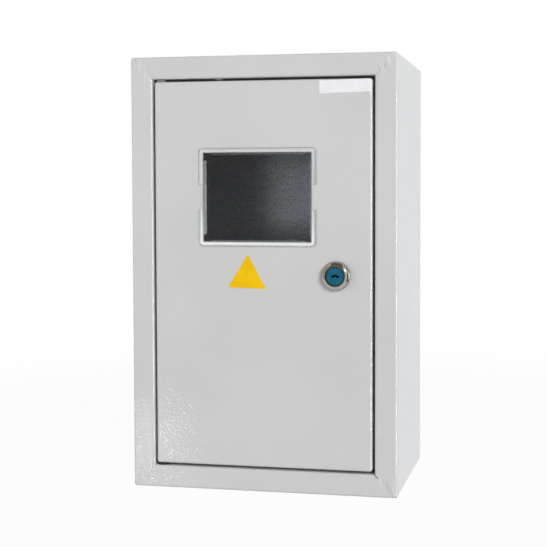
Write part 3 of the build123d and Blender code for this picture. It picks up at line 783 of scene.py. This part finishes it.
def threaded_rod(diameter, pitch, length, chamfer, steps):
    """A rod standing on the origin along Z, with a thread all the way and a chamfered upper end."""
    crest = diameter / 2
    root = crest - THREAD_DEPTH_SHARE * pitch
    turn = [(root, 0), (root, 1 / 8), (crest, 7 / 16), (crest, 9 / 16), (root, 7 / 8), (root, 1)]
    rod = draw_line([Vector((radius, 0.0, (share - 2) * pitch)) for radius, share in turn])
    apply_modifier(
        rod,
        "SCREW",
        axis="Z",
        angle=math.tau,
        screw_offset=pitch,
        iterations=math.ceil(length / pitch) + 4,
        steps=steps,
        render_steps=steps,
    )
    edit(rod)
    bpy.ops.mesh.remove_doubles(threshold=MERGE_DISTANCE)
    low, high = -pitch / 2, length + pitch / 2
    bpy.ops.mesh.bisect(plane_co=(0, 0, low), plane_no=(0, 0, 1), use_fill=True, clear_inner=True)
    bpy.ops.mesh.select_all(action="SELECT")
    bpy.ops.mesh.bisect(plane_co=(0, 0, high), plane_no=(0, 0, 1), use_fill=True, clear_outer=True)
    close_edit()
    slack = pitch / 10
    blank = edged_cylinder(crest + slack, length, chamfer + slack, 1, 2 * steps)
    combine(rod, "INTERSECT", blank)
    return rod


def add_cylinder(radius, length, sides):
    """A cylinder standing on the origin along Z."""
    clear_selection()
    bpy.ops.mesh.primitive_cylinder_add(
        vertices=sides, radius=radius, depth=length, location=(0, 0, length / 2)
    )
    piece = bpy.context.object
    set_down(piece, (0, 0, 0), piece.location)
    return piece


def edged_cylinder(radius, length, edge, segments, sides):
    """A cylinder standing on the origin along Z, its upper edge cut off or rounded."""
    piece = add_cylinder(radius, length, sides)
    edit(piece, everything=False)
    pick(piece, lambda place: place.z > length - PLACE_SLACK)
    bpy.ops.mesh.bevel(offset=edge, segments=segments, affect="EDGES")
    close_edit()
    return piece


def recess_arm(thread, length, top, turn):
    """One tapered arm of a cross recess, sunk into a head from its top."""
    clear_selection()
    size = (length, thread.recess_width, 2 * thread.recess_depth)
    bpy.ops.mesh.primitive_cube_add(size=1.0, scale=size, location=(0, 0, top))
    arm = bpy.context.object
    set_down(arm, (0, 0, turn), arm.location)
    edit(arm, everything=False)
    pick(arm, lambda place: place.z < top)
    bpy.ops.transform.resize(value=(thread.recess_taper, thread.recess_taper, 1.0))
    close_edit()
    return arm


class CABINET_OT_paint(Operator):
    """Powder coat the body shell, the rear panel and the door"""

    bl_idname = "cabinet.paint"
    bl_label = "Paint sheet steel"

    def execute(self, context):
        coat_nodes(powder_coat(context.scene.cabinet.paint), ("body_shell", "rear_panel", "door_panel"))
        return {"FINISHED"}


class CABINET_OT_galvanise(Operator):
    """Galvanise the mounting plate and its rail"""

    bl_idname = "cabinet.galvanise"
    bl_label = "Galvanise plate and rail"

    def execute(self, context):
        coat_nodes(galvanised_sheet(context.scene.cabinet.metal), ("mounting_plate", "mounting_rail"))
        return {"FINISHED"}


class CABINET_OT_fasteners(Operator):
    """Plate the nuts, washers, hinges and cam, and cut real threads on the studs and screws"""

    bl_idname = "cabinet.fasteners"
    bl_label = "Make fasteners"

    def execute(self, context):
        settings = context.scene.cabinet
        zinc = zinc_plating(settings.metal)
        on_plate = ("stud_back_nuts", "stud_washers", "stud_front_nuts", "rail_nuts")
        on_earth_studs = ("earth_washer", "earth_nut", "door_earth_washer", "door_earth_nut")
        on_door = ("upper_hinge_pin", "lower_hinge_pin", "lock_nut", "lock_cam", "cam_washer")
        coat_nodes(zinc, on_plate + on_earth_studs + on_door)
        self.make_plate_studs(settings.thread, zinc)
        self.make_earth_studs(settings.thread, zinc)
        self.make_rail_screws(settings.thread, zinc)
        self.make_cam_screw(settings.thread, zinc)
        return {"FINISHED"}

    def make_plate_studs(self, thread, zinc):
        """Four studs along -Y, one in each corner of the mounting plate."""
        low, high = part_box("plate_studs")
        diameter = (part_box("earth_stud")[1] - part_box("earth_stud")[0]).z
        stud = threaded_rod(diameter, thread.stud_pitch, high.y - low.y, thread.chamfer, thread.steps)
        across = high.x - low.x - diameter
        rise = high.z - low.z - diameter
        set_down(stud, (FACE_FRONT, 0, 0), (low.x + diameter / 2, high.y, low.z + diameter / 2))
        steps = [(0, 0), (across, 0), (0, rise), (across, rise)]
        studs = [stud] + [copy_piece(stud, (dx, 0, dz)) for dx, dz in steps[1:]]
        for number, each in enumerate(studs, 1):
            finish_piece(each, f"plate_stud_{number}", zinc, "cabinet", ["plate_studs"])

    def make_earth_studs(self, thread, zinc):
        """The earth stud on the left wall, along X, and its copy inside the door, along Y."""
        low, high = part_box("earth_stud")
        stud = threaded_rod(high.z - low.z, thread.stud_pitch, high.x - low.x, thread.chamfer, thread.steps)
        twin = copy_piece(stud, (0, 0, 0))
        middle = (low + high) / 2
        set_down(stud, (0, FACE_FRONT, 0), (low.x, middle.y, middle.z))
        finish_piece(stud, "earth_stud_threaded", zinc, "cabinet", ["earth_stud"])
        low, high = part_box("door_earth_stud")
        middle = (low + high) / 2
        set_down(twin, (-FACE_FRONT, 0, 0), (middle.x, low.y, middle.z))
        finish_piece(twin, "door_earth_stud_threaded", zinc, "door", ["door_earth_stud"])

    def make_rail_screws(self, thread, zinc):
        """Two pan-head screws through the rail, with a cross recess."""
        low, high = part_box("rail_screws")
        head_diameter = high.z - low.z
        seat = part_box("mounting_plate")[0].y - thread.rail_sheet
        head = self.make_head(thread, head_diameter, seat - low.y, thread.rail_dome)
        screw = self.add_shank(thread, head, thread.rail_shank, high.y - seat)
        left = low.x + head_diameter / 2
        right = high.x - head_diameter / 2
        set_down(screw, (FACE_FRONT, 0, 0), (left, seat, (low.z + high.z) / 2))
        for number, each in enumerate([screw, copy_piece(screw, (right - left, 0, 0))], 1):
            finish_piece(each, f"rail_screw_{number}", zinc, "cabinet", ["rail_screws"])

    def make_cam_screw(self, thread, zinc):
        """The screw that holds the cam on the lock core."""
        low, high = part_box("cam_screw")
        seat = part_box("cam_washer")[1].y
        head = self.make_head(thread, high.z - low.z, high.y - seat, thread.cam_dome)
        screw = self.add_shank(thread, head, thread.cam_shank, seat - low.y)
        set_down(screw, (-FACE_FRONT, 0, 0), (lock_x, seat, (low.z + high.z) / 2))
        finish_piece(screw, "cam_screw_recessed", zinc, "latch", ["cam_screw"])

    def make_head(self, thread, diameter, height, dome):
        """A pan head standing on the origin along Z, with a cross recess."""
        head = edged_cylinder(diameter / 2, height, dome, HEAD_SEGMENTS, 2 * thread.steps)
        for turn in (0.0, FACE_FRONT):
            reach = head.dimensions.x * thread.recess_share
            combine(head, "DIFFERENCE", recess_arm(thread, reach, height, turn))
        return head

    def add_shank(self, thread, head, diameter, length):
        """Hangs a threaded shank below a head that stands on the origin along Z."""
        height = head.dimensions.z
        sunk = height / 4
        shank = threaded_rod(diameter, thread.screw_pitch, length + sunk, thread.chamfer / 2, thread.steps)
        set_down(shank, (2 * FACE_FRONT, 0, 0), (0, 0, sunk))
        combine(head, "UNION", shank)
        return head


class CABINET_OT_hinges(Operator):
    """Make the two hinge washers, the upper one grey and the lower one dark with painted shade"""

    bl_idname = "cabinet.hinges"
    bl_label = "Make hinge washers"

    def execute(self, context):
        settings = context.scene.cabinet
        thread = settings.thread
        low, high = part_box("hinge_washers")
        middle = (low + high) / 2
        upper = self.make_washer(thread, high.x - low.x)
        lower = copy_piece(upper, (middle.x, middle.y, low.z))
        set_down(upper, (0, 0, 0), (middle.x, middle.y, high.z - thread.washer_height))
        metal = settings.metal
        grey = dull_steel("grey_steel", metal, metal.grey, metal.grey_worn, metal.grey_sheen)
        finish_piece(upper, "upper_hinge_washer", grey, "door", ["hinge_washers"])
        # Painted shade: the lower washer's steel is darkened for the shadow in the lower gap.
        dark = dull_steel("oiled_steel", metal, metal.painted_shade, metal.painted_shade_worn, 1.0)
        finish_piece(lower, "lower_hinge_washer", dark, "door", ["hinge_washers"])
        return {"FINISHED"}

    def make_washer(self, thread, diameter):
        """A bored washer standing on the origin along Z, with rounded edges."""
        sides = 2 * thread.steps
        washer = add_cylinder(diameter / 2, thread.washer_height, sides)
        apply_modifier(washer, "BEVEL", width=thread.washer_edge, segments=3, limit_method="ANGLE")
        bore = add_cylinder(thread.washer_bore / 2, 2 * thread.washer_height, sides)
        set_down(bore, (0, 0, 0), (0, 0, -thread.washer_height / 2))
        combine(washer, "DIFFERENCE", bore)
        return washer


class CABINET_OT_window(Operator):
    """Make the window moulding clear"""

    bl_idname = "cabinet.window"
    bl_label = "Clear window"

    def execute(self, context):
        coat_nodes(clear_plastic(context.scene.cabinet.plastic), ("window_pane",))
        return {"FINISHED"}


class CABINET_OT_lock(Operator):
    """Chrome the lock housing and colour its core"""

    bl_idname = "cabinet.lock"
    bl_label = "Finish lock"

    def execute(self, context):
        settings = context.scene.cabinet
        coat_nodes(bright_chrome(settings.metal), ("lock_housing",))
        coat_nodes(blue_plastic(settings.plastic), ("lock_core",))
        return {"FINISHED"}


class CABINET_OT_sticker(Operator):
    """Stick a plain three-cornered film on the door"""

    bl_idname = "cabinet.sticker"
    bl_label = "Add sticker"

    def execute(self, context):
        sticker = context.scene.cabinet.sticker
        clear_selection()
        bpy.ops.mesh.primitive_circle_add(vertices=3, radius=sticker.side / math.sqrt(3), fill_type="NGON")
        film = bpy.context.object
        edit(film)
        bpy.ops.mesh.bevel(offset=sticker.corner, segments=5, affect="VERTICES")
        close_edit()
        apply_modifier(film, "SOLIDIFY", thickness=sticker.thickness, offset=1.0)
        edge = sticker.thickness / 3
        apply_modifier(film, "BEVEL", width=edge, segments=2, limit_method="ANGLE")
        place = (sticker.centre_x, door_low.y - PLACE_SLACK, sticker.centre_z)
        set_down(film, (FACE_FRONT, sticker.tilt, 0), place)
        finish_piece(film, "yellow_sticker", yellow_film(sticker), "door")
        return {"FINISHED"}


class CABINET_OT_label(Operator):
    """Stick a blank paper label into the upper right corner of the door"""

    bl_idname = "cabinet.label"
    bl_label = "Add label"

    def execute(self, context):
        sticker = context.scene.cabinet.sticker
        clear_selection()
        bpy.ops.mesh.primitive_plane_add(size=1.0)
        paper = bpy.context.object
        paper.scale = (sticker.label_width, sticker.label_height, 1.0)
        set_down(paper, (0, 0, 0), (0, 0, 0))
        edit(paper)
        bpy.ops.mesh.subdivide(number_cuts=LABEL_CUTS)
        close_edit()
        middle_x = door_high.x - sticker.label_gap - sticker.label_width / 2
        middle_z = door_high.z - sticker.label_gap - sticker.label_height / 2
        in_front = (middle_x, door_low.y - LABEL_LIFT, middle_z)
        set_down(paper, (FACE_FRONT, -sticker.label_tilt, 0), in_front)
        apply_modifier(
            paper,
            "SHRINKWRAP",
            target=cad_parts["door_panel"],
            wrap_method="PROJECT",
            use_project_y=True,
            use_positive_direction=True,
            use_negative_direction=False,
            offset=PLACE_SLACK,
        )
        apply_modifier(paper, "SOLIDIFY", thickness=sticker.label_thickness, offset=1.0)
        finish_piece(paper, "paper_label", label_paper(sticker), "door")
        return {"FINISHED"}


class CABINET_OT_stage(Operator):
    """Set up the camera, the lamps, the pale floor and the white background"""

    bl_idname = "cabinet.stage"
    bl_label = "Set up studio"

    def execute(self, context):
        stage = context.scene.cabinet.stage
        context.scene.view_settings.view_transform = "Standard"
        self.place_camera(context.scene, stage)
        self.light_world(context.scene, stage)
        self.lay_floor(stage)
        for side in ("far_wall", "ceiling", "left_wall", "right_wall"):
            self.hang_card(stage, side)
        self.place_lamps(stage)
        return {"FINISHED"}

    def place_lamps(self, stage):
        """Soft lamps all round, where some only shade, some only shine and some light only a few nodes."""
        sheets = ("body_shell", "door_panel")
        fittings = ("lock_housing", "lock_core", "window_pane")
        self.place_lamp(stage, "key", stage.key_colour, shines=False)
        self.place_lamp(stage, "shine", stage.key_colour, shades=False, lit=fittings)
        self.place_lamp(stage, "back", shines=False, lit=("body_shell", "rear_panel"))
        self.place_lamp(stage, "low", lit=sheets)
        self.place_lamp(stage, "left", stage.left_colour, shines=False)
        edge = self.place_lamp(stage, "edge", shades=False, lit=sheets)
        edge.data.shape = "RECTANGLE"
        edge.data.size_y = stage.edge_height
        edge.data.cycles.max_bounces = 0
        self.place_lamp(stage, "kick", stage.kick_colour, shines=False)

    def place_camera(self, scene, stage):
        """The camera at the photograph's angle."""
        data = bpy.data.cameras.new("camera")
        data.sensor_width = SENSOR_WIDTH
        data.lens = stage.focal_share * data.sensor_width
        data.shift_x, data.shift_y = stage.shift
        camera = bpy.data.objects.new("camera", data)
        camera.location = stage.camera_place
        camera.rotation_euler = (FACE_FRONT + stage.camera_pitch, 0.0, stage.camera_turn)
        scene.collection.objects.link(camera)
        scene.camera = camera

    def light_world(self, scene, stage):
        """White to the eye, in metal and through glass, and an even fill light for everything else."""
        scene.world = bpy.data.worlds.new("white_room")
        scene.world.use_nodes = True
        sky = scene.world.node_tree.nodes["Background"]
        seen = self.seen_directly(scene.world.node_tree)
        feed(sky.inputs["Color"], WHITE)
        feed(sky.inputs["Strength"], seen * (1 - stage.fill) + stage.fill)

    def seen_directly(self, tree):
        """1 for rays from the eye, from metal and through glass, and 0 for light that a surface gathers."""
        path = tree.nodes.new("ShaderNodeLightPath")
        eye, metal, glass = (
            Shade(path.outputs[name]) for name in ("Is Camera Ray", "Is Glossy Ray", "Is Transmission Ray")
        )
        return eye.larger(metal).larger(glass)

    def lay_floor(self, stage):
        """A pale floor under the cabinet that keeps its shadow and fades to white further off."""
        clear_selection()
        bpy.ops.mesh.primitive_plane_add(size=stage.floor_size, location=(0.0, 0.0, shell_low.z))
        floor = bpy.context.object
        floor.name = "floor"
        set_down(floor, (0, 0, 0), floor.location)
        material, surface, place = start_finish("pale_floor")
        tree = material.node_tree
        set_surface(surface, Base_Color=stage.floor, Roughness=0.9, Specular_IOR_Level=0.0)
        x, y, _ = place.axes()
        away = x.across(y).rise(stage.floor_near, stage.floor_far)
        white = place.node("ShaderNodeEmission", None, {"Color": WHITE, "Strength": 1.0})
        share = self.seen_directly(tree) * (stage.floor_lift + away * (1 - stage.floor_lift))
        whole = Shade(surface.outputs["BSDF"]).mixed_with(white, share)
        feed(tree.nodes["Material Output"].inputs["Surface"], whole)
        floor.data.materials.append(material)
        floor.visible_shadow = False
        floor.visible_glossy = False

    def light_only(self, lamp, names):
        """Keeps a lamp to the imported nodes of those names."""
        lit = bpy.data.collections.new(lamp.name)
        for name in names:
            lit.objects.link(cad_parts[name])
        lamp.light_linking.receiver_collection = lit

    def turn_to_cabinet(self, place, front):
        """The turn at that place which points this axis of an object at the middle of the cabinet."""
        middle = Vector((0.0, shell_low.y / 2, 0.0))
        return (middle - Vector(place)).to_track_quat(front, "Y").to_euler()

    def hang_card(self, stage, name):
        """One plain side of the room, which only metal and glass show."""
        clear_selection()
        place = getattr(stage, name + "_place")
        size = getattr(stage, name + "_size")
        turn = self.turn_to_cabinet(place, "Z")
        bpy.ops.mesh.primitive_plane_add(size=size, location=place, rotation=turn)
        card = bpy.context.object
        card.name = name
        card.visible_camera = False
        card.visible_diffuse = False
        card.visible_shadow = False
        material, surface, _ = start_finish(name)
        set_surface(surface, Base_Color=BLACK, Specular_IOR_Level=0.0)
        set_surface(surface, Emission_Color=getattr(stage, name), Emission_Strength=1.0)
        card.data.materials.append(material)

    def place_lamp(self, stage, name, colour=WHITE, shades=True, shines=True, lit=()):
        """A square soft lamp aimed at the cabinet, kept to the nodes in lit if any are given."""
        data = bpy.data.lights.new(name + "_lamp", "AREA")
        data.size = getattr(stage, name + "_size")
        data.energy = getattr(stage, name + "_power")
        data.color = colour
        lamp = bpy.data.objects.new(name + "_lamp", data)
        lamp.location = getattr(stage, name + "_place")
        lamp.rotation_euler = self.turn_to_cabinet(lamp.location, "-Z")
        lamp.visible_camera = False
        lamp.visible_diffuse = shades
        lamp.visible_glossy = shines
        bpy.context.scene.collection.objects.link(lamp)
        if lit:
            self.light_only(lamp, lit)
        return lamp


class CABINET_PT_looks(Panel):
    """Lists the steps and settings of the cabinet's looks"""

    bl_idname = "CABINET_PT_looks"
    bl_label = "Cabinet"
    bl_space_type = "VIEW_3D"
    bl_region_type = "UI"
    bl_category = "Cabinet"

    def draw(self, context):
        settings = context.scene.cabinet
        for step in STEPS:
            self.layout.operator(step.bl_idname)
        for title in CabinetSettings.__annotations__:
            group = getattr(settings, title)
            box = self.layout.box()
            for name in group.__annotations__:
                box.prop(group, name)


STEPS = (
    CABINET_OT_paint,
    CABINET_OT_galvanise,
    CABINET_OT_fasteners,
    CABINET_OT_hinges,
    CABINET_OT_window,
    CABINET_OT_lock,
    CABINET_OT_sticker,
    CABINET_OT_label,
    CABINET_OT_stage,
)

CLASSES = (
    PaintSettings,
    MetalSettings,
    PlasticSettings,
    StickerSettings,
    ThreadSettings,
    StageSettings,
    CabinetSettings,
    *STEPS,
    CABINET_PT_looks,
)


def register():
    """Adds the settings, the steps and the panel."""
    for each in CLASSES:
        bpy.utils.register_class(each)
    bpy.types.Scene.cabinet = PointerProperty(type=CabinetSettings)


def unregister():
    """Takes the panel, the steps and the settings away again."""
    del bpy.types.Scene.cabinet
    for each in reversed(CLASSES):
        bpy.utils.unregister_class(each)


def main():
    """Runs every step in order."""
    register()
    bpy.ops.cabinet.paint()
    bpy.ops.cabinet.galvanise()
    bpy.ops.cabinet.fasteners()
    bpy.ops.cabinet.hinges()
    bpy.ops.cabinet.window()
    bpy.ops.cabinet.lock()
    bpy.ops.cabinet.sticker()
    bpy.ops.cabinet.label()
    bpy.ops.cabinet.stage()
    clear_selection()


if __name__ == "__main__":
    main()
